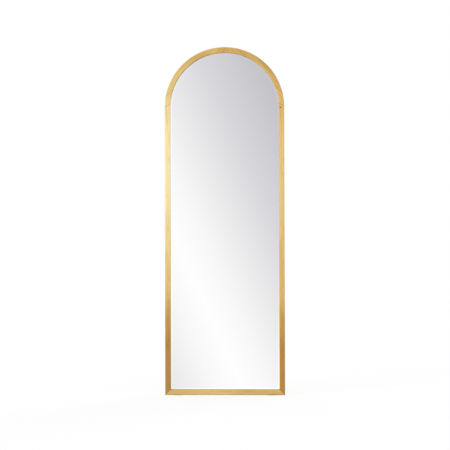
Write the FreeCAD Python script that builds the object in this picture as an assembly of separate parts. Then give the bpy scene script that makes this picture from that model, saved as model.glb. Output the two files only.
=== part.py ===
import FreeCAD, Part
import math
import os

from FreeCAD import Vector

# Arched floor mirror in a slim wooden frame, in millimetres. +Z is up and +Y points
# to the wall behind. The mirror faces -Y, and "left" and "right" are as seen from the
# front. The origin is on the floor, in the middle of the width and of the full depth.

# Frame outline
overall_width = 559.0
overall_height = 1626.0        # from the floor to the top of the arch
face_width = 25.4              # wood seen from the front
edge_round = 5.5               # both front edges
back_ease = 1.5                # outer back edge

# What the frame holds, from the front face to the back
recess_depth = 14.0            # from the wood's face to the flat of the glass
glass_thickness = 4.0
bevel_width = 12.7
bevel_drop = 1.6               # glass ground away at the edge
card_thickness = 3.0
board_thickness = 9.0

# Rebate that takes glass, backing card and backboard
rebate_width = 6.0
glass_edge_gap = 1.5           # filled by the setting blocks and spacers
lip_clearance = 0.1            # between the bevel and the lip's inner edge
card_edge_gap = 2.5
board_edge_gap = 0.5

# Joints of the frame
scarf_rise = 16.0              # slope of the joint between stile and arch
outer_board_width = {"left": 51.5, "right": 44.5}  # of each arch quarter's blank
dowel_radius = 4.0
dowel_length = 40.0
dowel_depths = (8.0, 21.5)     # behind the front face
dowel_clearance = 0.05
dowel_end_gap = 0.5

# Corner nails, each an L in plan driven in from the back
nail_leg = 6.5
nail_thickness = 0.7
nail_height = 12.0
nail_sink = 0.3                # below the frame's back
nail_insets = (4.0, 10.5)      # of each nail's bend from the two outer faces
nail_clearance = 0.04

# Small pieces round the glass
block_length = 30.0
block_spacing = 300.0          # between the two setting blocks
spacer_length = 30.0
spacer_heights = (0.2, 0.8)    # share of the stile's height

# Screws
screw_radius = 1.75
screw_length = 16.0            # under the head
screw_tip = 3.0
head_radius = 3.5
head_height = 2.1
head_round = 0.9
recess_length = 4.2            # cross recess in the head
recess_width = 0.9
recess_sink = 1.2
screw_hole_clearance = 0.05

# Turn buttons
buttons_per_stile = 3
arch_button_angles = (45.0, 135.0)
button_width = 12.0
button_thickness = 1.5
button_overlap = 9.0           # reach over the backboard
button_edge_round = 0.3
button_float = 0.1             # play above and below
button_hole_clearance = 0.06

# Hangers
hanger_drop = 110.0            # pivot below the spring of the arch
strap_width = 10.0
strap_thickness = 1.2
strap_length = 42.0            # from the pivot to the strap's end
strap_corner = 3.0
strap_screw_drops = (24.0, 35.0)
strap_hole_clearance = 0.3
ring_wire_radius = 1.25
ring_width = 15.5              # across the wire's centre line
ring_height = 16.0             # from the bar to the far end of the centre line
ring_corner = 2.25
ring_hinge_clearance = 0.08
ring_strap_gap = 0.3

# Bumpers at the back and pads underneath
bumper_radius = 6.0
bumper_height = 6.0
bumper_round = 1.0
low_bumper_height = 50.0       # above the frame's bottom
arch_bumper_angles = (65.0, 115.0)
pad_length = 40.0
pad_width = 22.0               # nearly the flat of the rail's underside
pad_thickness = 2.0
pad_sink = 1.0                 # let into the wood
pad_end_distance = 60.0        # pad's middle from the frame's side

# Derived places
side_signs = {"left": -1, "right": 1}
half_width = overall_width / 2
frame_depth = recess_depth + glass_thickness + card_thickness + board_thickness
front = -(frame_depth + bumper_height) / 2
back = front + frame_depth
base = pad_thickness - pad_sink
spring = overall_height - half_width
arch_centre = Vector(0, 0, spring)
stile_height = spring - base

rebate_inset = face_width - rebate_width
glass_inset = rebate_inset + glass_edge_gap
bevel_slope = bevel_drop / bevel_width
drop_at_lip = bevel_drop - (face_width - glass_inset) * bevel_slope
lip_depth = recess_depth + drop_at_lip - lip_clearance
glass_front = front + recess_depth
glass_back = glass_front + glass_thickness
card_back = glass_back + card_thickness

back_wood_middle = rebate_inset / 2     # inwards from the outer edge
button_reach = rebate_inset - back_wood_middle + board_edge_gap + button_overlap
button_front = back + button_float
button_back = button_front + button_thickness
strap_back = back + strap_thickness
pivot_y = strap_back + ring_strap_gap + ring_wire_radius
pivot_z = spring - hanger_drop
eye_bore = ring_wire_radius + ring_hinge_clearance
eye_radius = eye_bore + strap_thickness

margin = 10.0                  # by which cutting shapes pass the wood
Y_AXIS = Vector(0, 1, 0)


def save(name, solids):
    """Writes one node, a single solid or a group of them."""
    shape = solids[0] if len(solids) == 1 else Part.makeCompound(solids)
    shape.exportStep(f"parts/{name}.step")


def mirrored(shape):
    """The same shape on the other side of the mirror's middle."""
    return shape.mirror(Vector(0, 0, 0), Vector(1, 0, 0))


def polygon_prism(points, y_near, y_far):
    """Prism over a polygon given by (x, z) points, from one depth to another."""
    corners = [Vector(x, y_near, z) for x, z in points]
    wire = Part.makePolygon(corners + corners[:1])
    return Part.Face(wire).extrude(Vector(0, y_far - y_near, 0))


def cutting_prism(points):
    """Prism that passes through the frame's full depth."""
    return polygon_prism(points, front - margin, back + margin)


def arch_wire(inset, y):
    """The frame's outline, moved inwards by inset, at one depth."""
    radius = half_width - inset
    low_left = Vector(-radius, y, base + inset)
    low_right = Vector(radius, y, base + inset)
    high_left = Vector(-radius, y, spring)
    high_right = Vector(radius, y, spring)
    top = Vector(0, y, spring + radius)
    return Part.Wire([
        Part.LineSegment(low_left, low_right).toShape(),
        Part.LineSegment(low_right, high_right).toShape(),
        Part.Arc(high_right, top, high_left).toShape(),
        Part.LineSegment(high_left, low_left).toShape(),
    ])


def arch_plate(inset, y_near, y_far):
    """Flat sheet with the arched outline."""
    face = Part.Face(arch_wire(inset, y_near))
    return face.extrude(Vector(0, y_far - y_near, 0))


# Wooden frame


def moulding_section(corner, inward):
    """Rebated section of the moulding, at its outer front corner, inwards from there."""

    def point(across, depth):
        return corner + inward * across + Y_AXIS * depth

    def corner_arc(across, depth, radius, start, end):
        middle = (start + end) / 2
        angles = [math.radians(a) for a in (start, middle, end)]
        points = [
            point(across + radius * math.cos(a), depth + radius * math.sin(a))
            for a in angles
        ]
        return Part.Arc(*points)

    def line(start, end):
        return Part.LineSegment(point(*start), point(*end))

    inner_lip = face_width - edge_round
    curves = [
        line((edge_round, 0), (inner_lip, 0)),
        corner_arc(inner_lip, edge_round, edge_round, -90, 0),
        line((face_width, edge_round), (face_width, lip_depth)),
        line((face_width, lip_depth), (rebate_inset, lip_depth)),
        line((rebate_inset, lip_depth), (rebate_inset, frame_depth)),
        line((rebate_inset, frame_depth), (back_ease, frame_depth)),
        corner_arc(back_ease, frame_depth - back_ease, back_ease, 90, 180),
        line((0, frame_depth - back_ease), (0, edge_round)),
        corner_arc(edge_round, edge_round, edge_round, 180, 270),
    ]
    return Part.Face(Part.Wire([curve.toShape() for curve in curves]))


def arch_moulding():
    """The whole half ring, from the right spring to the left."""
    section = moulding_section(Vector(half_width, front, spring), Vector(-1, 0, 0))
    return section.revolve(arch_centre, Vector(0, -1, 0), 180)


def stile_moulding():
    """The right stile before its ends are cut."""
    section = moulding_section(Vector(half_width, front, base), Vector(-1, 0, 0))
    return section.extrude(Vector(0, 0, stile_height))


def rail_moulding():
    """The bottom rail before its ends are cut."""
    section = moulding_section(Vector(-half_width, front, base), Vector(0, 0, 1))
    return section.extrude(Vector(overall_width, 0, 0))


def scarf_height(x):
    """Height of the slanted joint over the spring, at a distance x from the middle."""
    return scarf_rise * (half_width - x) / face_width


def stile_region():
    """Everything between the right mitre and the right slanted joint."""
    outer_x = half_width + margin
    inner_x = half_width - face_width - margin
    return cutting_prism([
        (outer_x, base - margin),
        (inner_x, base + face_width + margin),
        (inner_x, spring + scarf_height(inner_x)),
        (outer_x, spring + scarf_height(outer_x)),
    ])


def rail_region():
    """Everything between the two mitres."""
    reach = face_width + margin
    return cutting_prism([
        (-half_width - margin, base - margin),
        (half_width + margin, base - margin),
        (half_width - reach, base + reach),
        (-half_width + reach, base + reach),
    ])


def quarter_region():
    """The right half of the arch, above the slanted joint."""
    outer_x = half_width + margin
    inner_x = half_width - face_width - margin
    top = overall_height + margin
    return cutting_prism([
        (0, top),
        (0, spring + scarf_height(inner_x)),
        (inner_x, spring + scarf_height(inner_x)),
        (outer_x, spring + scarf_height(outer_x)),
        (outer_x, top),
    ])


def beyond_glue_line(reach):
    """What lies past a line square to the right quarter's diagonal, at that reach."""
    diagonal = Vector(1, 0, 1).normalize()
    along = Vector(-1, 0, 1).normalize()
    near = arch_centre + diagonal * reach
    far = arch_centre + diagonal * (half_width + margin)
    corners = [
        near - along * half_width,
        far - along * half_width,
        far + along * half_width,
        near + along * half_width,
    ]
    return cutting_prism([(corner.x, corner.z) for corner in corners])


def arch_quarter_boards(side):
    """The boards of one quarter: its middle, its lower end and its upper end."""
    quarter = arch_moulding().common(quarter_region())
    outer_board = beyond_glue_line(half_width - outer_board_width[side])
    middle = quarter.common(outer_board).Solids[0]
    ends = sorted(quarter.cut(outer_board).Solids, key=lambda s: s.CenterOfMass.z)
    boards = {"middle": middle, "lower_end": ends[0], "upper_end": ends[1]}
    if side == "left":
        boards = {name: mirrored(board) for name, board in boards.items()}
    return boards


# Dowels


def rod(start, direction, length, radius):
    return Part.makeCylinder(radius, length, start, direction)


def dowels_at(middle, direction, growth, end_gap):
    """Dowels side by side in the frame's depth, centred on a joint."""
    length = dowel_length + 2 * end_gap
    start = middle - direction * (length / 2)
    return [
        rod(start + Y_AXIS * depth, direction, length, dowel_radius + growth)
        for depth in dowel_depths
    ]


def joint_dowels(growth=0.0, end_gap=0.0):
    """Dowels of the slanted joints and of the joint at the top, with room round them."""
    dowel_x = half_width - back_wood_middle
    scarf_z = spring + scarf_height(dowel_x)
    stile_dowels = []
    for sign in side_signs.values():
        middle = Vector(sign * dowel_x, front, scarf_z)
        stile_dowels += dowels_at(middle, Vector(0, 0, 1), growth, end_gap)
    apex = Vector(0, front, overall_height - back_wood_middle)
    apex_dowels = dowels_at(apex, Vector(1, 0, 0), growth, end_gap)
    return stile_dowels, apex_dowels


# Corner nails


def corner_nail(inset, growth=0.0):
    """One L-shaped nail of the right mitre, its legs along the rail and the stile."""
    bend_x = half_width - inset + growth
    bend_z = base + inset - growth
    leg = nail_leg + 2 * growth
    thick = nail_thickness + 2 * growth
    top_y = back - nail_sink
    plan = [
        (bend_x, bend_z),
        (bend_x - leg, bend_z),
        (bend_x - leg, bend_z + thick),
        (bend_x - thick, bend_z + thick),
        (bend_x - thick, bend_z + leg),
        (bend_x, bend_z + leg),
    ]
    pocket_back = back + margin if growth else top_y
    return polygon_prism(plan, top_y - nail_height - growth, pocket_back)


def corner_nails(side, growth=0.0):
    nails = [corner_nail(inset, growth) for inset in nail_insets]
    return [mirrored(nail) for nail in nails] if side == "left" else nails


# Screws


def screw(x, z, seat_y):
    """Pan head screw driven towards the front, its head's underside at seat_y."""
    shank_length = screw_length - screw_tip
    toward_front = Vector(0, -1, 0)
    shank = rod(Vector(x, seat_y, z), toward_front, shank_length, screw_radius)
    tip_start = Vector(x, seat_y - shank_length, z)
    tip = Part.makeCone(screw_radius, 0, screw_tip, tip_start, toward_front)
    head = rod(Vector(x, seat_y, z), Y_AXIS, head_height, head_radius)
    head_back = seat_y + head_height
    rim = [e for e in head.Edges if e.Closed and e.CenterOfMass.y > head_back - head_round]
    head = head.makeFillet(head_round, rim)
    body = head.fuse([shank, tip]).removeSplitter()
    recess_y = head_back - recess_sink
    for size_x, size_z in ((recess_length, recess_width), (recess_width, recess_length)):
        corner = Vector(x - size_x / 2, recess_y, z - size_z / 2)
        body = body.cut(Part.makeBox(size_x, recess_sink, size_z, corner))
    return body.Solids[0]


def screw_hole(x, z, seat_y):
    """Hole in the wood for a screw whose head sits at seat_y."""
    depth = screw_length - (seat_y - back) + screw_hole_clearance
    radius = screw_radius + screw_hole_clearance
    return rod(Vector(x, back, z), Vector(0, -1, 0), depth, radius)


# Turn buttons


def button_places():
    """Pivot (x, z) and inward direction in degrees from +X towards +Z, in order."""
    places = []
    pivot_x = half_width - back_wood_middle
    for sign in side_signs.values():
        inward = 180.0 if sign > 0 else 0.0
        for index in range(buttons_per_stile):
            z = base + stile_height * (index + 0.5) / buttons_per_stile
            places.append((sign * pivot_x, z, inward))
    for angle in arch_button_angles:
        radius = half_width - back_wood_middle
        x = radius * math.cos(math.radians(angle))
        z = spring + radius * math.sin(math.radians(angle))
        places.append((x, z, angle + 180.0))
    places.append((0.0, base + back_wood_middle, 90.0))
    return places


def turn_button(x, z, inward):
    """Flat steel button with round ends, turned in over the backboard."""
    radius = button_width / 2
    far = button_reach - radius
    lower_left = Vector(0, button_front, -radius)
    lower_right = Vector(far, button_front, -radius)
    upper_right = Vector(far, button_front, radius)
    upper_left = Vector(0, button_front, radius)
    outline = Part.Wire([
        Part.LineSegment(lower_left, lower_right).toShape(),
        Part.Arc(lower_right, Vector(button_reach, button_front, 0), upper_right).toShape(),
        Part.LineSegment(upper_right, upper_left).toShape(),
        Part.Arc(upper_left, Vector(-radius, button_front, 0), lower_left).toShape(),
    ])
    plate = Part.Face(outline).extrude(Y_AXIS * button_thickness)
    rim = [e for e in plate.Edges if e.CenterOfMass.y > button_back - button_edge_round]
    plate = plate.makeFillet(button_edge_round, rim)
    hole_start = Vector(0, button_front - margin, 0)
    hole_length = button_thickness + 2 * margin
    hole = rod(hole_start, Y_AXIS, hole_length, screw_radius + button_hole_clearance)
    plate = plate.cut(hole)
    plate.rotate(Vector(0, 0, 0), Vector(0, -1, 0), inward)
    plate.translate(Vector(x, 0, z))
    return plate.Solids[0]


# Hangers


def hanger_x(side):
    return side_signs[side] * (half_width - back_wood_middle)


def hanger_strap(side):
    """Steel strap flat on the wood, its upper end rolled into an eye."""
    middle = hanger_x(side)
    left = middle - strap_width / 2
    plate = Part.makeBox(
        strap_width, strap_thickness, strap_length, Vector(left, back, pivot_z - strap_length)
    )
    low_corners = [
        e for e in plate.Edges
        if math.isclose(e.Length, strap_thickness) and e.CenterOfMass.z < pivot_z - strap_length / 2
    ]
    plate = plate.makeFillet(strap_corner, low_corners)
    eye = rod(Vector(left, pivot_y, pivot_z), Vector(1, 0, 0), strap_width, eye_radius)
    strap = plate.fuse(eye).removeSplitter()
    bore_start = Vector(left - margin, pivot_y, pivot_z)
    bore = rod(bore_start, Vector(1, 0, 0), strap_width + 2 * margin, eye_bore)
    strap = strap.cut(bore)
    for drop in strap_screw_drops:
        start = Vector(middle, back - margin, pivot_z - drop)
        length = strap_thickness + 2 * margin
        strap = strap.cut(rod(start, Y_AXIS, length, screw_radius + strap_hole_clearance))
    return strap.Solids[0]


def bent_rod(centre, start_angle, end_angle, bend_radius):
    """Round wire bent in the plane of the back, about a centre (x, z)."""
    x, z = centre
    angle = math.radians(start_angle)
    start = Vector(x + bend_radius * math.cos(angle), pivot_y, z + bend_radius * math.sin(angle))
    tangent = Vector(-math.sin(angle), 0, math.cos(angle))
    profile = Part.Face(Part.Wire(Part.makeCircle(ring_wire_radius, start, tangent)))
    centre_point = Vector(x, pivot_y, z)
    return profile.revolve(centre_point, Vector(0, -1, 0), end_angle - start_angle)


def hanger_ring(side):
    """D-shaped wire ring, its bar in the strap's eye and its bow hanging down."""
    middle = hanger_x(side)
    half = ring_width / 2
    bow_z = pivot_z - ring_height + half
    corner_z = pivot_z - ring_corner
    bar_half = half - ring_corner
    wire = ring_wire_radius
    down = Vector(0, 0, -1)
    bar_start = Vector(middle - bar_half, pivot_y, pivot_z)
    side_length = corner_z - bow_z
    pieces = [
        rod(bar_start, Vector(1, 0, 0), 2 * bar_half, wire),
        bent_rod((middle + bar_half, corner_z), 0, 90, ring_corner),
        bent_rod((middle - bar_half, corner_z), 90, 180, ring_corner),
        rod(Vector(middle + half, pivot_y, corner_z), down, side_length, wire),
        rod(Vector(middle - half, pivot_y, corner_z), down, side_length, wire),
        bent_rod((middle, bow_z), 180, 270, half),
        bent_rod((middle, bow_z), 270, 360, half),
    ]
    return pieces[0].fuse(pieces[1:]).removeSplitter().Solids[0]


# Glass and what centres it


def mirror_glass():
    """Sheet with a bevel ground all round its front edge."""
    edge_y = glass_front + bevel_drop
    sheet = arch_plate(glass_inset, edge_y, glass_back)
    bevel = Part.makeLoft(
        [arch_wire(glass_inset, edge_y), arch_wire(glass_inset + bevel_width, glass_front)],
        True,
        True,
    )
    return sheet.fuse(bevel).removeSplitter().Solids[0]


def setting_blocks():
    """Blocks in the bottom of the rebate, under the glass."""
    return [
        Part.makeBox(
            block_length,
            glass_thickness - bevel_drop,
            glass_edge_gap,
            Vector(middle - block_length / 2, glass_front + bevel_drop, base + rebate_inset),
        )
        for middle in (-block_spacing / 2, block_spacing / 2)
    ]


def side_spacers():
    """Slips between the glass and the stiles."""
    spacers = []
    for sign in side_signs.values():
        outer = sign * (half_width - rebate_inset)
        inner = sign * (half_width - glass_inset)
        for share in spacer_heights:
            low = base + stile_height * share - spacer_length / 2
            corner = Vector(min(outer, inner), glass_front + bevel_drop, low)
            thickness = glass_thickness - bevel_drop
            spacers.append(Part.makeBox(glass_edge_gap, thickness, spacer_length, corner))
    return spacers


# Bumpers and pads


def wall_bumpers():
    """Round bumpers on the back, two on the arch and two low on the stiles."""
    radius = half_width - back_wood_middle
    places = [(sign * radius, base + low_bumper_height) for sign in side_signs.values()]
    for angle in arch_bumper_angles:
        turn = math.radians(angle)
        places.append((radius * math.cos(turn), spring + radius * math.sin(turn)))
    bumpers = []
    for x, z in places:
        bumper = rod(Vector(x, back, z), Y_AXIS, bumper_height, bumper_radius)
        rim = [e for e in bumper.Edges if e.Closed and e.CenterOfMass.y > back + bumper_height / 2]
        bumpers.append(bumper.makeFillet(bumper_round, rim))
    return bumpers


def floor_pads():
    """Pads let into the flat of the rail's underside, near its ends."""
    pad_x = half_width - pad_end_distance
    flat_depth = frame_depth - edge_round - back_ease
    pad_front = front + edge_round + (flat_depth - pad_width) / 2
    return [
        Part.makeBox(
            pad_length,
            pad_width,
            pad_thickness,
            Vector(sign * pad_x - pad_length / 2, pad_front, 0),
        )
        for sign in side_signs.values()
    ]


def main():
    os.makedirs("parts", exist_ok=True)

    buttons = button_places()
    button_screws = [(x, z, button_back + button_float) for x, z, _ in buttons]
    strap_screws = [
        (hanger_x(side), pivot_z - drop, strap_back)
        for side in side_signs
        for drop in strap_screw_drops
    ]
    pads = floor_pads()
    stile_holes, apex_holes = joint_dowels(dowel_clearance, dowel_end_gap)
    screw_holes = [screw_hole(*place) for place in button_screws + strap_screws]
    nail_pockets = [nail for side in side_signs for nail in corner_nails(side, nail_clearance)]

    right_stile = stile_moulding().fuse(arch_moulding()).common(stile_region())
    right_stile = right_stile.removeSplitter().Solids[0]
    wood = {
        "left_stile": mirrored(right_stile),
        "right_stile": right_stile,
        "bottom_rail": rail_moulding().common(rail_region()).Solids[0],
    }
    for side in side_signs:
        for board_name, board in arch_quarter_boards(side).items():
            wood[f"arch_{side}_{board_name}"] = board
    holes = stile_holes + apex_holes + screw_holes + nail_pockets + pads
    for name, blank in wood.items():
        save(name, blank.cut(holes).Solids)

    stile_dowels, apex_dowels = joint_dowels()
    save("stile_dowels", stile_dowels)
    save("apex_dowels", apex_dowels)
    for side in side_signs:
        save(f"{side}_corner_nails", corner_nails(side))

    save("mirror_glass", [mirror_glass()])
    save("setting_blocks", setting_blocks())
    save("side_spacers", side_spacers())
    save("backing_card", [arch_plate(rebate_inset + card_edge_gap, glass_back, card_back)])
    save("backboard", [arch_plate(rebate_inset + board_edge_gap, card_back, back)])

    for number, place in enumerate(buttons, start=1):
        save(f"turn_button_{number}", [turn_button(*place)])
    save("turn_button_screws", [screw(*place) for place in button_screws])

    for side in side_signs:
        save(f"{side}_hanger_strap", [hanger_strap(side)])
        save(f"{side}_hanger_ring", [hanger_ring(side)])
    save("hanger_screws", [screw(*place) for place in strap_screws])

    save("wall_bumpers", wall_bumpers())
    save("floor_pads", pads)


main()
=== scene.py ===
import math

import bpy
from mathutils import Euler, Matrix, Vector


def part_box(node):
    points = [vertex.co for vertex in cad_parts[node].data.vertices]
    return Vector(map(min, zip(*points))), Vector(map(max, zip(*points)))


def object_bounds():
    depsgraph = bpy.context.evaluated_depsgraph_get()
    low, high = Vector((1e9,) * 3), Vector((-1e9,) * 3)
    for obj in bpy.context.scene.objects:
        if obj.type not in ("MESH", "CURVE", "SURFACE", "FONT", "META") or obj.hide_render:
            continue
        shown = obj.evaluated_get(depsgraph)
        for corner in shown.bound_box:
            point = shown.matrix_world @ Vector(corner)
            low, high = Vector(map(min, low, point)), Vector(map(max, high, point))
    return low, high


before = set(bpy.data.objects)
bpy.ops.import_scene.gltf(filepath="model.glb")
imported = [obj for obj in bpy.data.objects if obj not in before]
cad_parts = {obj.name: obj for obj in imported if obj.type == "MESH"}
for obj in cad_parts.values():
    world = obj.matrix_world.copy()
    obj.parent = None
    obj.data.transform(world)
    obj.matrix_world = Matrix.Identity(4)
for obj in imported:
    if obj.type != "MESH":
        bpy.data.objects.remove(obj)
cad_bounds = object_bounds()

# Looks of the arched floor mirror, in metres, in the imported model's own frame: +Z is up,
# the mirror faces -Y, and "left" and "right" are as seen from the front.

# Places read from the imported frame
rail_low, rail_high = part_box("bottom_rail")
half_width = rail_high.x
front = rail_low.y
base = rail_low.z
face_width = rail_high.z - rail_low.z
top = cad_bounds[1].z
spring = top - half_width
glass_low, glass_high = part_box("mirror_glass")
glass_front = glass_low.y
glass_back = glass_high.y
glass_half_width = glass_high.x

# Places that no box gives
SCARF_RISE = 0.016             # slope of the joint between stile and arch
EDGE_ROUND = 0.0055            # both front edges of the wood
LIP_SKIN = 0.0001              # what counts as the lip's inner side
RING_SPACING = 0.0032          # of the growth rings
SEAM_WIDTH = 0.0013            # of a glue line's stain, on either side
BEVEL_WIDTH = 0.0127
BEVEL_DROP = 0.0016            # glass ground away at the edge
ARRIS_WIDTH = 0.0012           # of the line between bevel and flat, on either side
FLUTE_SPACING = 0.007          # of the backing card
FLOOR_REACH = 12.0

# Light: the world's plain level, the floor's tones, and each sun's direction and level
AMBIENT = 0.96
FLOOR_TONE = 0.8
FLOOR_SHADE = 0.15             # how strongly shadows show on it
SUN_SPREAD = 30                # degrees
SUNS = (
    (Vector((-1.0, -0.8, 0.5)), 0.65),
    (Vector((0.8, 1.0, 0.6)), 0.65),
)

# Sheen in the mirror: its bright ridge lies where x + SHEEN_SLANT * z = -SHEEN_SIDE, for
# the direction (x, y, z) that the glass looks into
SHEEN_SIDE = 0.0702
SHEEN_SLANT = 0.45
SHEEN_GAIN = 0.136             # makes up for what silvered glass takes away

# Camera
CAMERA_X = 0.2015
CAMERA_HEIGHT = 0.708
CAMERA_DISTANCE = 6.0          # in front of the wood's face
CAMERA_PITCH = 0.816           # upwards, in degrees
CAMERA_TURN = 1.908            # to the left
CAMERA_ROLL = -0.147
CAMERA_LENS = 102.95


def linear(red, green, blue):
    """Linear colour of an sRGB tone given as 0 to 255."""

    def channel(value):
        share = value / 255
        if share <= 0.04045:
            return share / 12.92
        return ((share + 0.055) / 1.055) ** 2.4

    return (channel(red), channel(green), channel(blue), 1.0)


# Wood tones, from the palest part of the frame to its darkest
CREAM = linear(250, 231, 180)
PALE = linear(240, 216, 156)
STRAW = linear(228, 198, 130)
HONEY = linear(218, 184, 113)
GOLD = linear(208, 171, 101)
AMBER = linear(197, 153, 82)
BROWN = linear(186, 140, 71)
ROUNDING_PAINTED_HIGHLIGHT = (1.14, 1.12, 1.00, 1.0)       # painted highlight: multiplies the tone on the inner front rounding
ARCH_RIGHT_PAINTED_HIGHLIGHT = (1.24, 1.27, 1.12, 1.0)     # a stronger painted highlight on the same rounding in the right half of the arch
RAIL_PAINTED_SHADE = (0.98, 0.95, 0.90, 1.0)       # painted shade on the same rounding on the rail
LIP_PAINTED_SHADE = (0.52, 0.49, 0.40, 1.0)       # painted shade: multiplies the tone on the lip's inner side in the arch's left half
SEAM_STAIN = (0.30, 0.20, 0.12, 1.0)      # multiplies the tone in a glue line
GRAIN_STAIN = (0.80, 0.72, 0.60, 1.0)     # multiplies the tone in the dark grain
MARK_STAIN = (0.55, 0.38, 0.24, 1.0)      # multiplies the tone in knots and dark streaks
MOTTLE_STAIN = (0.90, 0.82, 0.70, 1.0)    # multiplies the tone in reddish clouds

# Patterns in the grain: repeats per metre along and across the board, the noise's detail
# and roughness, and the noise at which the pattern starts and is full
PATTERNS = {
    "bands": (2.5, 150.0, 4.0, 0.55, 0.42, 0.66),
    "mottle": (16.0, 140.0, 2.0, 0.5, 0.48, 0.70),
    "streaks": (12.0, 900.0, 3.0, 0.6, 0.45, 0.75),
    "pores": (90.0, 2600.0, 2.0, 0.5, 0.62, 0.72),
}

# How strongly each pattern stains the wood, and with what
PATTERN_STAINS = {
    "rings": (0.24, GRAIN_STAIN),
    "bands": (0.22, GRAIN_STAIN),
    "mottle": (0.6, MOTTLE_STAIN),
    "streaks": (0.20, GRAIN_STAIN),
    "pores": (0.28, GRAIN_STAIN),
}

# How strongly the joints show
SCARF_STRENGTH = {"stile": 1.0, "arch": 0.6}
MITRE_STRENGTH = 0.7
APEX_STRENGTH = 0.5
GLUE_STRENGTH = {"left": 0.5, "right": 0.9}

# Silvered glass
SILVER = (0.88, 0.88, 0.88, 1.0)
# Painted reflection on the bevel: near white and brighter than the field low down, faintly blue
# higher up
BEVEL_PAINTED_REFLECTION_LOW = (0.98, 1.0, 1.0, 1.0)
BEVEL_PAINTED_REFLECTION_HIGH = (0.905, 0.92, 0.965, 1.0)
# Painted darker, warmer line in the reflection where the bevel meets the field
ARRIS_PAINTED_LINE = (0.96, 0.94, 0.88, 1.0)
BEVEL_TURN = (0.2, 0.8)        # heights between which the bevel's painted reflection goes from low to high
BEVEL_LEVELLING = 0.97         # how far its reflections turn towards the field's

# Shares of the arch, from its right spring to its left, where the lip's painted shade fades in and
# out
LIP_FADE_IN = (0.60, 0.70)
LIP_FADE_OUT = (0.84, 0.95)

# Broad tones along the boards, each at its share of the height, the width or the arch
STILE_TONES = {
    "left": [
        (0.19, BROWN), (0.24, AMBER), (0.41, STRAW), (0.56, PALE),
        (0.72, CREAM), (0.89, CREAM), (1.0, PALE),
    ],
    "right": [
        (0.17, BROWN), (0.24, AMBER), (0.36, HONEY), (0.66, STRAW),
        (0.84, STRAW), (1.0, HONEY),
    ],
}
RAIL_TONES = [(0.0, HONEY), (0.36, STRAW), (0.5, STRAW), (0.66, HONEY), (1.0, HONEY)]
ARCH_TONES = [
    (0.0, HONEY), (0.07, HONEY), (0.15, GOLD), (0.5, GOLD), (0.56, HONEY), (0.65, GOLD),
    (0.78, STRAW), (0.9, STRAW), (1.0, PALE),
]

# Where each board's pattern of grain starts
SEEDS = {"left": 3.0, "right": 8.0, "rail": 14.0}

# Knots and dark streaks: middle (x, z), half length along the grain, half width, strength
MARKS = {
    "left_stile": [
        (-0.2590, 0.043, 0.020, 0.0030, 0.45),
        (-0.2720, 0.234, 0.030, 0.0060, 0.22),
        (-0.2630, 0.388, 0.008, 0.0050, 0.30),
    ],
    "right_stile": [
        (0.2735, 0.103, 0.022, 0.0035, 0.25),
        (0.2720, 0.230, 0.016, 0.0035, 0.20),
        (0.2680, 0.940, 0.002, 0.0130, 0.25),
        (0.2685, 1.033, 0.012, 0.0035, 0.35),
        (0.2680, 1.272, 0.002, 0.0130, 0.20),
        (0.2615, 1.332, 0.006, 0.0030, 0.30),
        (0.2620, 1.342, 0.006, 0.0080, 0.90),
        (0.2620, 1.342, 0.003, 0.0040, 1.00),
    ],
    "arch_left_middle": [(-0.192, 1.539, 0.110, 0.0120, 0.22)],
    "arch_left_upper_end": [
        (-0.105, 1.600, 0.020, 0.0050, 0.50),
        (-0.138, 1.575, 0.016, 0.0045, 0.40),
        (-0.003, 1.609, 0.006, 0.0035, 0.35),
    ],
    "arch_right_middle": [
        (0.192, 1.539, 0.120, 0.0120, 0.27),
        (0.128, 1.587, 0.035, 0.0040, 0.22),
    ],
}


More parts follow.
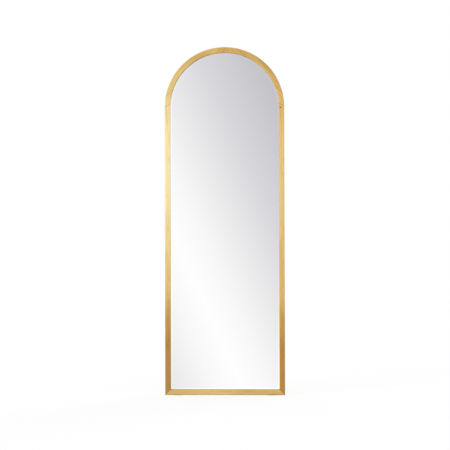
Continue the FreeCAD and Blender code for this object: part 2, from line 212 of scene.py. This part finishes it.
class Graph:
    """Makes and links shader nodes in one tree."""

    def __init__(self, owner):
        owner.use_nodes = True
        self.tree = owner.node_tree
        self.tree.nodes.clear()

    def feed(self, socket, value):
        if isinstance(value, bpy.types.NodeSocket):
            self.tree.links.new(value, socket)
        else:
            socket.default_value = value

    def add(self, kind, inputs=None, **settings):
        node = self.tree.nodes.new("ShaderNode" + kind)
        for name, value in settings.items():
            setattr(node, name, value)
        for key, value in (inputs or {}).items():
            self.feed(node.inputs[key], value)
        return node

    def math(self, operation, first, second=0.0):
        return self.add("Math", {0: first, 1: second}, operation=operation).outputs[0]

    def place(self):
        """The point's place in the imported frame, at rest."""
        return self.add("TexCoord").outputs["Object"]

    def axes(self, vector):
        return self.add("SeparateXYZ", {0: vector}).outputs

    def along(self, point, direction, offset=0.0):
        """How far a point lies in a direction, less an offset."""
        node = self.add("VectorMath", {0: point, 1: direction}, operation="DOT_PRODUCT")
        return self.math("SUBTRACT", node.outputs["Value"], offset)

    def combine(self, x, y, z):
        return self.add("CombineXYZ", {0: x, 1: y, 2: z}).outputs[0]

    def span(self, value, low, high, start=0.0, end=1.0):
        """Goes smoothly from start to end while the value goes from low to high."""
        inputs = {"Value": value, "From Min": low, "From Max": high, "To Min": start, "To Max": end}
        return self.add("MapRange", inputs, interpolation_type="SMOOTHSTEP").outputs["Result"]

    def near(self, distance, width):
        """1 at distance 0, down to 0 at the width on either side."""
        return self.span(self.math("ABSOLUTE", distance), 0.0, width, 1.0, 0.0)

    def noise(self, vector, scale=1.0, detail=3.0, roughness=0.5):
        inputs = {"Vector": vector, "Scale": scale, "Detail": detail, "Roughness": roughness}
        return self.add("TexNoise", inputs).outputs[0]

    def ramp(self, value, stops, smooth=True):
        """Colour ramp with (position, colour) stops."""
        node = self.add("ValToRGB", {0: value})
        node.color_ramp.interpolation = "EASE" if smooth else "LINEAR"
        elements = node.color_ramp.elements
        elements[0].position, elements[0].color = stops[0]
        elements[1].position, elements[1].color = stops[-1]
        for position, colour in stops[1:-1]:
            elements.new(position).color = colour
        return node.outputs[0]

    def mix(self, factor, first, second, blend="MIX"):
        node = self.add("Mix", data_type="RGBA", blend_type=blend)
        self.feed(node.inputs[0], factor)
        self.feed(node.inputs[6], first)
        self.feed(node.inputs[7], second)
        return node.outputs[2]

    def stain(self, colour, factor, tint):
        return self.mix(factor, colour, tint, "MULTIPLY")

    def bump(self, height, distance, strength=1.0):
        inputs = {"Height": height, "Distance": distance, "Strength": strength}
        return self.add("Bump", inputs).outputs[0]

    def surface(self, colour, roughness, normal=None, **sockets):
        """Finishes the material with one Principled shader."""
        inputs = {"Base Color": colour, "Roughness": roughness}
        if normal is not None:
            inputs["Normal"] = normal
        inputs.update({name.replace("_", " "): value for name, value in sockets.items()})
        shader = self.add("BsdfPrincipled", inputs)
        self.add("OutputMaterial", {"Surface": shader.outputs[0]})
        return shader


def new_material(name):
    material = bpy.data.materials.new(name)
    return material, Graph(material)


def finish_node(name, material):
    """Gives a carried-over node its material."""
    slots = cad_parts[name].material_slots
    for slot in slots:
        slot.material = material


# Wood

up = Vector((0, 0, 1))
right = Vector((1, 0, 0))


def toward(side, x, z):
    """Unit vector in the mirror's plane, x counted outwards on that side."""
    sign = -1 if side == "left" else 1
    return Vector((sign * x, 0, z)).normalized()


def glue_reach(side):
    """Distance from the arch's centre to the glue line of that side's quarter."""
    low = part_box(f"arch_{side}_middle")[0].z
    angle = math.asin((low - spring) / half_width)
    return half_width * math.cos(math.radians(45) - angle)


def seam_planes(side):
    """Planes of the joints on one side, each a direction and its offset."""
    diagonal = toward(side, 1, 1)
    centre = Vector((0, 0, spring))
    corner = Vector((half_width if side == "right" else -half_width, 0, 0))
    scarf = toward(side, SCARF_RISE, face_width)
    return {
        "glue": (diagonal, diagonal.dot(centre) + glue_reach(side)),
        "scarf": (scarf, scarf.dot(corner + centre)),
        "mitre": (diagonal, diagonal.dot(corner + up * base)),
        "apex": (right, 0.0),
    }


def stile_edge(graph, point):
    """Distance from the frame's outline, on the stiles."""
    x = graph.axes(point)[0]
    return graph.math("SUBTRACT", half_width, graph.math("ABSOLUTE", x))


def rail_edge(graph, point):
    return graph.math("SUBTRACT", graph.axes(point)[2], base)


def arch_edge(graph, point):
    x, _, z = graph.axes(point)
    rise = graph.math("SUBTRACT", z, spring)
    radius = graph.add("VectorMath", {0: graph.combine(x, 0.0, rise)}, operation="LENGTH")
    return graph.math("SUBTRACT", half_width, radius.outputs["Value"])


def height_share(graph, point):
    """0 at the floor, 1 at the spring of the arch."""
    return graph.math("DIVIDE", graph.axes(point)[2], spring)


def width_share(graph, point):
    """0 at the left side, 1 at the right."""
    return graph.math("ADD", graph.math("DIVIDE", graph.axes(point)[0], 2 * half_width), 0.5)


def angle_share(graph, point):
    """Round the arch from its right spring, 0, to its left spring, 1."""
    x, _, z = graph.axes(point)
    angle = graph.math("ARCTAN2", graph.math("SUBTRACT", z, spring), x)
    return graph.math("DIVIDE", angle, math.pi)


def grain(graph, point, grain_direction, cross_direction, seed):
    """Growth rings, broad bands, clouds, fine streaks and pores that run along the board."""
    length = graph.along(point, grain_direction)
    across = graph.along(point, cross_direction)
    depth = graph.axes(point)[1]
    slow = graph.combine(graph.math("MULTIPLY", length, 2.2), across, seed)
    drift = graph.math("MULTIPLY", graph.noise(slow, 1.5, 2.0), 0.03)
    across = graph.math("ADD", across, drift)

    def stretched(along_scale, across_scale):
        """The point with the board's length drawn out."""
        return graph.combine(
            graph.math("ADD", graph.math("MULTIPLY", length, along_scale), seed),
            graph.math("MULTIPLY", across, across_scale),
            graph.math("MULTIPLY", depth, across_scale),
        )

    radial = graph.math("ADD", across, graph.math("MULTIPLY", depth, 0.6))
    waver = graph.math("MULTIPLY", graph.noise(stretched(8.0, 120.0), 1.0, 3.0), 1.6)
    count = graph.math("ADD", graph.math("DIVIDE", radial, RING_SPACING), waver)
    patterns = {"rings": graph.span(graph.math("FRACT", count), 0.25, 0.97)}
    for name, (lengthwise, crosswise, detail, roughness, start, full) in PATTERNS.items():
        noise = graph.noise(stretched(lengthwise, crosswise), 1.0, detail, roughness)
        patterns[name] = graph.span(noise, start, full)
    return patterns


def mark(graph, point, grain_direction, cross_direction, x, z, length_reach, cross_reach):
    """1 in the middle of a mark drawn out along the grain, 0 outside it."""
    middle = Vector((x, 0, z))
    lengthwise = grain_direction / length_reach
    crosswise = cross_direction / cross_reach
    length = graph.along(point, lengthwise, middle.dot(lengthwise))
    across = graph.along(point, crosswise, middle.dot(crosswise))
    away = graph.add("VectorMath", {0: graph.combine(length, across, 0.0)}, operation="LENGTH")
    ragged = graph.math("MULTIPLY", graph.noise(point, 700.0), 0.6)
    return graph.span(graph.math("ADD", away.outputs["Value"], ragged), 0.5, 1.3, 1.0, 0.0)


def lip_shade(graph, point, inset):
    """Mask of painted shade: 1 on the lip's inner side in the arch's left half, fading out towards
    both ends.
    """
    share = angle_share(graph, point)
    low_end = graph.span(share, *LIP_FADE_OUT, 1.0, 0.0)
    high_end = graph.span(share, *LIP_FADE_IN)
    lip = graph.span(inset, face_width - LIP_SKIN, face_width)
    return graph.math("MULTIPLY", lip, graph.math("MULTIPLY", low_end, high_end))


def marked(graph, point, colour, name, direction, cross):
    """The colour with that board's knots and dark streaks."""
    for x, z, length_reach, cross_reach, strength in MARKS.get(name, ()):
        spot = mark(graph, point, direction, cross, x, z, length_reach, cross_reach)
        colour = graph.stain(colour, graph.math("MULTIPLY", spot, strength), MARK_STAIN)
    return colour


def edged(graph, point, colour, name, inset, edge_painted_light):
    """The colour with painted light on its inner front rounding (a painted highlight, painted shade
    on the rail) and, in the arch, painted shade on its lip.
    """
    inner_start = face_width - 1.1 * EDGE_ROUND
    inner = graph.span(inset, inner_start, face_width - 0.2 * EDGE_ROUND)
    # Painted light on the inner front rounding: a painted highlight, painted shade on the rail
    colour = graph.stain(colour, inner, edge_painted_light)
    if name.startswith("arch"):
        # Painted shade on the lip's inner side in the arch's left half
        colour = graph.stain(colour, lip_shade(graph, point, inset), LIP_PAINTED_SHADE)
    return colour


def seamed(graph, point, colour, seams):
    """The colour with a dark line where the board meets each of its neighbours."""
    for (normal, offset), strength in seams:
        line = graph.near(graph.along(point, normal, offset), SEAM_WIDTH)
        colour = graph.stain(colour, graph.math("MULTIPLY", line, strength), SEAM_STAIN)
    return colour


def wood(name, edge, share, tones, direction, seams, seed, edge_painted_light=ROUNDING_PAINTED_HIGHLIGHT):
    """One board: its tones along the frame, its grain, marks, painted light on its inner edge, and
    seams.
    """
    material, graph = new_material(f"wood_{name}")
    point = graph.place()
    cross = Vector((direction.z, 0, -direction.x))
    patterns = grain(graph, point, direction, cross, seed)
    colour = graph.ramp(share(graph, point), tones)
    for pattern, (strength, tint) in PATTERN_STAINS.items():
        stained = graph.math("MULTIPLY", patterns[pattern], strength)
        colour = graph.stain(colour, stained, tint)
    colour = marked(graph, point, colour, name, direction, cross)
    colour = edged(graph, point, colour, name, edge(graph, point), edge_painted_light)
    colour = seamed(graph, point, colour, seams)

    dents = graph.math("ADD", graph.math("MULTIPLY", patterns["streaks"], 0.4), patterns["pores"])
    roughness = graph.span(patterns["bands"], 0.0, 1.0, 0.55, 0.66)
    normal = graph.bump(graph.math("SUBTRACT", 1.0, dents), 0.0001, 0.5)
    graph.surface(colour, roughness, normal, Specular_IOR_Level=0.15)
    finish_node(name, material)


def finish_side(side):
    """The stile and the three arch boards on one side."""
    planes = seam_planes(side)
    seed = SEEDS[side]
    stile_seams = [(planes["mitre"], MITRE_STRENGTH), (planes["scarf"], SCARF_STRENGTH["stile"])]
    wood(f"{side}_stile", stile_edge, height_share, STILE_TONES[side], up, stile_seams, seed)

    glue = (planes["glue"], GLUE_STRENGTH[side])
    arch_seams = {
        "lower_end": [glue, (planes["scarf"], SCARF_STRENGTH["arch"])],
        "middle": [glue],
        "upper_end": [glue, (planes["apex"], APEX_STRENGTH)],
    }
    # Painted highlight on the inner rounding, stronger on the right half of the arch
    edge_painted_light = ROUNDING_PAINTED_HIGHLIGHT if side == "left" else ARCH_RIGHT_PAINTED_HIGHLIGHT
    chord = toward(side, -1, 1)
    for number, (board, seams) in enumerate(arch_seams.items(), start=1):
        name = f"arch_{side}_{board}"
        wood(name, arch_edge, angle_share, ARCH_TONES, chord, seams, seed + number, edge_painted_light)


def finish_wood():
    finish_side("left")
    finish_side("right")
    mitres = [(seam_planes(side)["mitre"], MITRE_STRENGTH) for side in ("left", "right")]
    seed = SEEDS["rail"]
    # The rail's inner rounding gets painted shade
    wood("bottom_rail", rail_edge, width_share, RAIL_TONES, right, mitres, seed, RAIL_PAINTED_SHADE)


def dowel_wood():
    """Fluted beech dowels, pale and finely flecked."""
    material, graph = new_material("beech_dowel")
    point = graph.place()
    flecks = graph.span(graph.noise(point, 900.0, 4.0), 0.5, 0.7)
    colour = graph.mix(flecks, linear(222, 190, 148), linear(184, 142, 98))
    graph.surface(colour, 0.6, graph.bump(flecks, 0.0001))
    return material


# Mirror


def glass_inset(graph, x, z):
    """Distance from the glass's outline."""
    straight = graph.math("SUBTRACT", glass_half_width, graph.math("ABSOLUTE", x))
    low = graph.math("SUBTRACT", z, glass_low.z)
    rise = graph.math("MAXIMUM", graph.math("SUBTRACT", z, spring), 0.0)
    radius = graph.add("VectorMath", {0: graph.combine(x, 0.0, rise)}, operation="LENGTH")
    arched = graph.math("SUBTRACT", glass_half_width, radius.outputs["Value"])
    return graph.math("MINIMUM", graph.math("MINIMUM", straight, low), arched)


def silver_colour(graph, z, inset, bevel):
    """Clear field, bevel with a painted reflection (near white low down, faintly blue higher up),
    and a painted line between them.
    """
    # Painted reflection on the bevel, changing with height
    bevel_painted_reflection = graph.mix(graph.span(z, *BEVEL_TURN), BEVEL_PAINTED_REFLECTION_LOW, BEVEL_PAINTED_REFLECTION_HIGH)
    colour = graph.mix(bevel, SILVER, bevel_painted_reflection)
    # Painted line in the reflection where the bevel meets the field
    arris = graph.near(graph.math("SUBTRACT", inset, BEVEL_WIDTH), ARRIS_WIDTH)
    return graph.stain(colour, graph.math("MULTIPLY", arris, 0.6), ARRIS_PAINTED_LINE)


def mirror_normal(graph, bevel, ground):
    """The surface's own normal, but on the bevel turned nearly all the way to the field's."""
    flat = graph.add(
        "VectorTransform",
        {0: (0, -1, 0)},
        vector_type="NORMAL",
        convert_from="OBJECT",
        convert_to="WORLD",
    )
    true_normal = graph.add("NewGeometry").outputs["Normal"]
    own_share = graph.math("SUBTRACT", 1.0, graph.math("MULTIPLY", bevel, BEVEL_LEVELLING))
    mixed = graph.add("Mix", data_type="VECTOR")
    graph.feed(mixed.inputs[0], graph.math("MAXIMUM", own_share, ground))
    graph.feed(mixed.inputs[4], flat.outputs[0])
    graph.feed(mixed.inputs[5], true_normal)
    return mixed.outputs[1]


def mirror_silver():
    """Silvered glass: clear field, bevel with a faintly blue painted reflection, ground edge and
    painted back.
    """
    material, graph = new_material("silvered_glass")
    point = graph.place()
    x, y, z = graph.axes(point)
    inset = glass_inset(graph, x, z)
    bevel = graph.span(inset, BEVEL_WIDTH - 0.0003, BEVEL_WIDTH + 0.0003, 1.0, 0.0)
    colour = silver_colour(graph, z, inset, bevel)

    edge_y = glass_front + BEVEL_DROP
    ground = graph.span(y, edge_y + 0.0001, edge_y + 0.0003)
    colour = graph.mix(ground, colour, linear(150, 176, 168))
    painted = graph.span(y, glass_back - 0.0002, glass_back - 0.0001)
    flecks = graph.noise(point, 400.0, 3.0)
    paint = graph.mix(flecks, linear(96, 100, 104), linear(124, 128, 130))
    colour = graph.mix(painted, colour, paint)
    metal = graph.math("SUBTRACT", 1.0, ground)
    roughness = graph.math("MULTIPLY", ground, 0.55)
    graph.surface(colour, roughness, mirror_normal(graph, bevel, ground), Metallic=metal)
    return material


# Back


def fibreboard():
    """Raw medium-density board: fine pale and dark fibres, cloudy tone, sawn rim."""
    material, graph = new_material("fibreboard")
    point = graph.place()
    clouds = graph.noise(point, 14.0, 3.0)
    fibres = graph.noise(point, 700.0, 6.0, 0.7)
    colour = graph.mix(clouds, linear(164, 128, 92), linear(182, 146, 108))
    colour = graph.mix(graph.span(fibres, 0.35, 0.5, 0.5, 0.0), colour, linear(112, 80, 54))
    colour = graph.mix(graph.span(fibres, 0.56, 0.7, 0.0, 0.5), colour, linear(205, 174, 138))
    roughness = graph.span(fibres, 0.3, 0.7, 0.7, 0.85)
    graph.surface(colour, roughness, graph.bump(fibres, 0.00015, 0.5))
    return material


def card():
    """Corrugated backing card, its flutes showing through the liner as faint lines."""
    material, graph = new_material("backing_card")
    point = graph.place()
    height = graph.axes(point)[2]
    flutes = graph.math("SINE", graph.math("MULTIPLY", height, 2 * math.pi / FLUTE_SPACING))
    fibres = graph.noise(point, 500.0, 5.0)
    colour = graph.mix(fibres, linear(168, 132, 92), linear(196, 160, 118))
    colour = graph.mix(graph.span(flutes, -1.0, 1.0, 0.0, 0.25), colour, linear(150, 114, 78))
    graph.surface(colour, 0.85, graph.bump(flutes, 0.0002))
    return material


def plated_steel(name, light, dark, brush):
    """Zinc-plated steel with cloudy plating, fine scratches and worn edges."""
    material, graph = new_material(name)
    point = graph.place()
    clouds = graph.noise(point, 160.0, 3.0)
    x, y, z = graph.axes(point)
    brushed = graph.combine(graph.math("MULTIPLY", x, brush), y, graph.math("MULTIPLY", z, 300.0))
    scratches = graph.noise(brushed, 8.0, 4.0)
    colour = graph.mix(graph.span(clouds, 0.35, 0.65), dark, light)
    worn = graph.span(scratches, 0.5, 0.8, 0.0, 0.12)
    roughness = graph.math("ADD", graph.span(clouds, 0.3, 0.7, 0.24, 0.36), worn)
    graph.surface(colour, roughness, graph.bump(scratches, 0.00002, 0.4), Metallic=1.0)
    return material


def rubber(name, tone, deep):
    """Matt rubber with a fine moulded grain."""
    material, graph = new_material(name)
    point = graph.place()
    fine = graph.noise(point, 1600.0, 3.0)
    colour = graph.mix(graph.span(fine, 0.35, 0.65), deep, tone)
    graph.surface(colour, graph.span(fine, 0.3, 0.7, 0.6, 0.8), graph.bump(fine, 0.00005))
    return material


def finish_hardware():
    hardware = plated_steel("zinc_plate", linear(214, 216, 218), linear(178, 182, 186), 40.0)
    screws = plated_steel("screw_plate", linear(222, 208, 170), linear(188, 172, 132), 200.0)
    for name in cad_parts:
        if "button" in name or "hanger" in name or "nails" in name:
            finish_node(name, screws if "screws" in name else hardware)


def finish_all():
    finish_wood()
    finish_hardware()
    dowels = dowel_wood()
    finish_node("stile_dowels", dowels)
    finish_node("apex_dowels", dowels)
    finish_node("mirror_glass", mirror_silver())
    finish_node("backboard", fibreboard())
    finish_node("backing_card", card())
    block = rubber("block_rubber", linear(70, 72, 74), linear(48, 50, 52))
    finish_node("setting_blocks", block)
    finish_node("side_spacers", block)
    finish_node("wall_bumpers", rubber("bumper_rubber", linear(84, 84, 84), linear(58, 58, 58)))
    finish_node("floor_pads", rubber("pad_rubber", linear(196, 186, 168), linear(172, 162, 146)))


# Studio


def sheen_ahead(graph, x, z):
    """What the glass mirrors: a bright slanted ridge that falls off on either side."""
    slant = graph.math("MULTIPLY", z, SHEEN_SLANT)
    ridge = graph.math("ADD", graph.math("ADD", x, SHEEN_SIDE), slant)
    return graph.ramp(graph.math("ABSOLUTE", ridge), [
        (0.0, linear(254, 254, 254)),
        (0.0233, linear(247, 247, 247)),
        (0.0622, linear(227, 227, 229)),
        (0.0842, linear(215, 214, 219)),
        (0.1243, linear(197, 196, 201)),
        (0.40, linear(206, 206, 211)),
        (0.50, linear(240, 240, 243)),
        (0.58, linear(218, 218, 223)),
        (0.68, linear(190, 190, 196)),
        (1.0, linear(228, 228, 231)),
    ], smooth=False)


def sheen_behind(graph, z):
    """What the metal on the back mirrors: darker below, brighter above."""
    return graph.ramp(graph.span(z, -0.8, 0.8), [
        (0.0, linear(150, 150, 152)),
        (0.45, linear(200, 200, 202)),
        (1.0, linear(255, 255, 255)),
    ])


def studio_world():
    """White to the eye, an even light, and a soft sheen for what mirrors it."""
    world = bpy.data.worlds.new("studio")
    bpy.context.scene.world = world
    graph = Graph(world)
    x, y, z = graph.axes(graph.add("TexCoord").outputs["Generated"])
    ray = graph.add("LightPath").outputs
    glossy = ray["Is Glossy Ray"]
    seen = graph.math("MAXIMUM", ray["Is Camera Ray"], ray["Is Transmission Ray"])

    ahead_or_behind = graph.span(y, -0.1, 0.1)
    mirrored = graph.mix(ahead_or_behind, sheen_ahead(graph, x, z), sheen_behind(graph, z))
    colour = graph.mix(glossy, (AMBIENT, AMBIENT, AMBIENT, 1.0), mirrored)
    colour = graph.mix(seen, colour, (1.0, 1.0, 1.0, 1.0))
    strength = graph.math("ADD", 1.0, graph.math("MULTIPLY", glossy, SHEEN_GAIN))
    light = graph.add("Background", {"Color": colour, "Strength": strength})
    graph.add("OutputWorld", {"Surface": light.outputs[0]})


def suns():
    """Wide soft lights from far away, from the side where each source lies."""
    for source, strength in SUNS:
        data = bpy.data.lights.new("sun", "SUN")
        data.angle = math.radians(SUN_SPREAD)
        data.energy = strength
        sun = bpy.data.objects.new("sun", data)
        sun.rotation_euler = source.to_track_quat("Z", "Y").to_euler()
        sun.visible_glossy = False
        bpy.context.scene.collection.objects.link(sun)


def floor():
    """Plain pale floor, white to the eye except in the mirror's shadow."""
    signs = [(-1, -1), (1, -1), (1, 1), (-1, 1)]
    corners = [(x * FLOOR_REACH, y * FLOOR_REACH, 0) for x, y in signs]
    mesh = bpy.data.meshes.new("floor")
    mesh.from_pydata(corners, [], [(0, 1, 2, 3)])
    ground = bpy.data.objects.new("floor", mesh)
    bpy.context.scene.collection.objects.link(ground)
    material, graph = new_material("floor")
    seen = graph.add("LightPath").outputs["Is Camera Ray"]
    lit = AMBIENT + sum(strength * source.normalized().z for source, strength in SUNS) / math.pi
    pale = (FLOOR_TONE, FLOOR_TONE, FLOOR_TONE, 1.0)
    faint = (FLOOR_SHADE, FLOOR_SHADE, FLOOR_SHADE, 1.0)
    matt = graph.add("BsdfDiffuse", {"Color": graph.mix(seen, pale, faint)})
    fill = graph.math("MULTIPLY", seen, 1.0 - FLOOR_SHADE * lit)
    glow = graph.add("Emission", {"Strength": fill})
    both = graph.add("AddShader", {0: matt.outputs[0], 1: glow.outputs[0]})
    graph.add("OutputMaterial", {"Surface": both.outputs[0]})
    mesh.materials.append(material)
    ground.visible_glossy = False


def camera():
    """Nearly straight in front: a little to the right, low and looking slightly up."""
    data = bpy.data.cameras.new("camera")
    data.lens = CAMERA_LENS
    data.sensor_width = 36.0
    view = bpy.data.objects.new("camera", data)
    view.location = (CAMERA_X, front - CAMERA_DISTANCE, CAMERA_HEIGHT)
    aim = Euler((math.radians(90 + CAMERA_PITCH), 0, math.radians(CAMERA_TURN)))
    roll = Matrix.Rotation(math.radians(CAMERA_ROLL), 3, "Z")
    view.rotation_euler = (aim.to_matrix() @ roll).to_euler()
    bpy.context.scene.collection.objects.link(view)
    bpy.context.scene.camera = view


camera()
bpy.context.scene.view_settings.view_transform = "Standard"
studio_world()
suns()
floor()
finish_all()
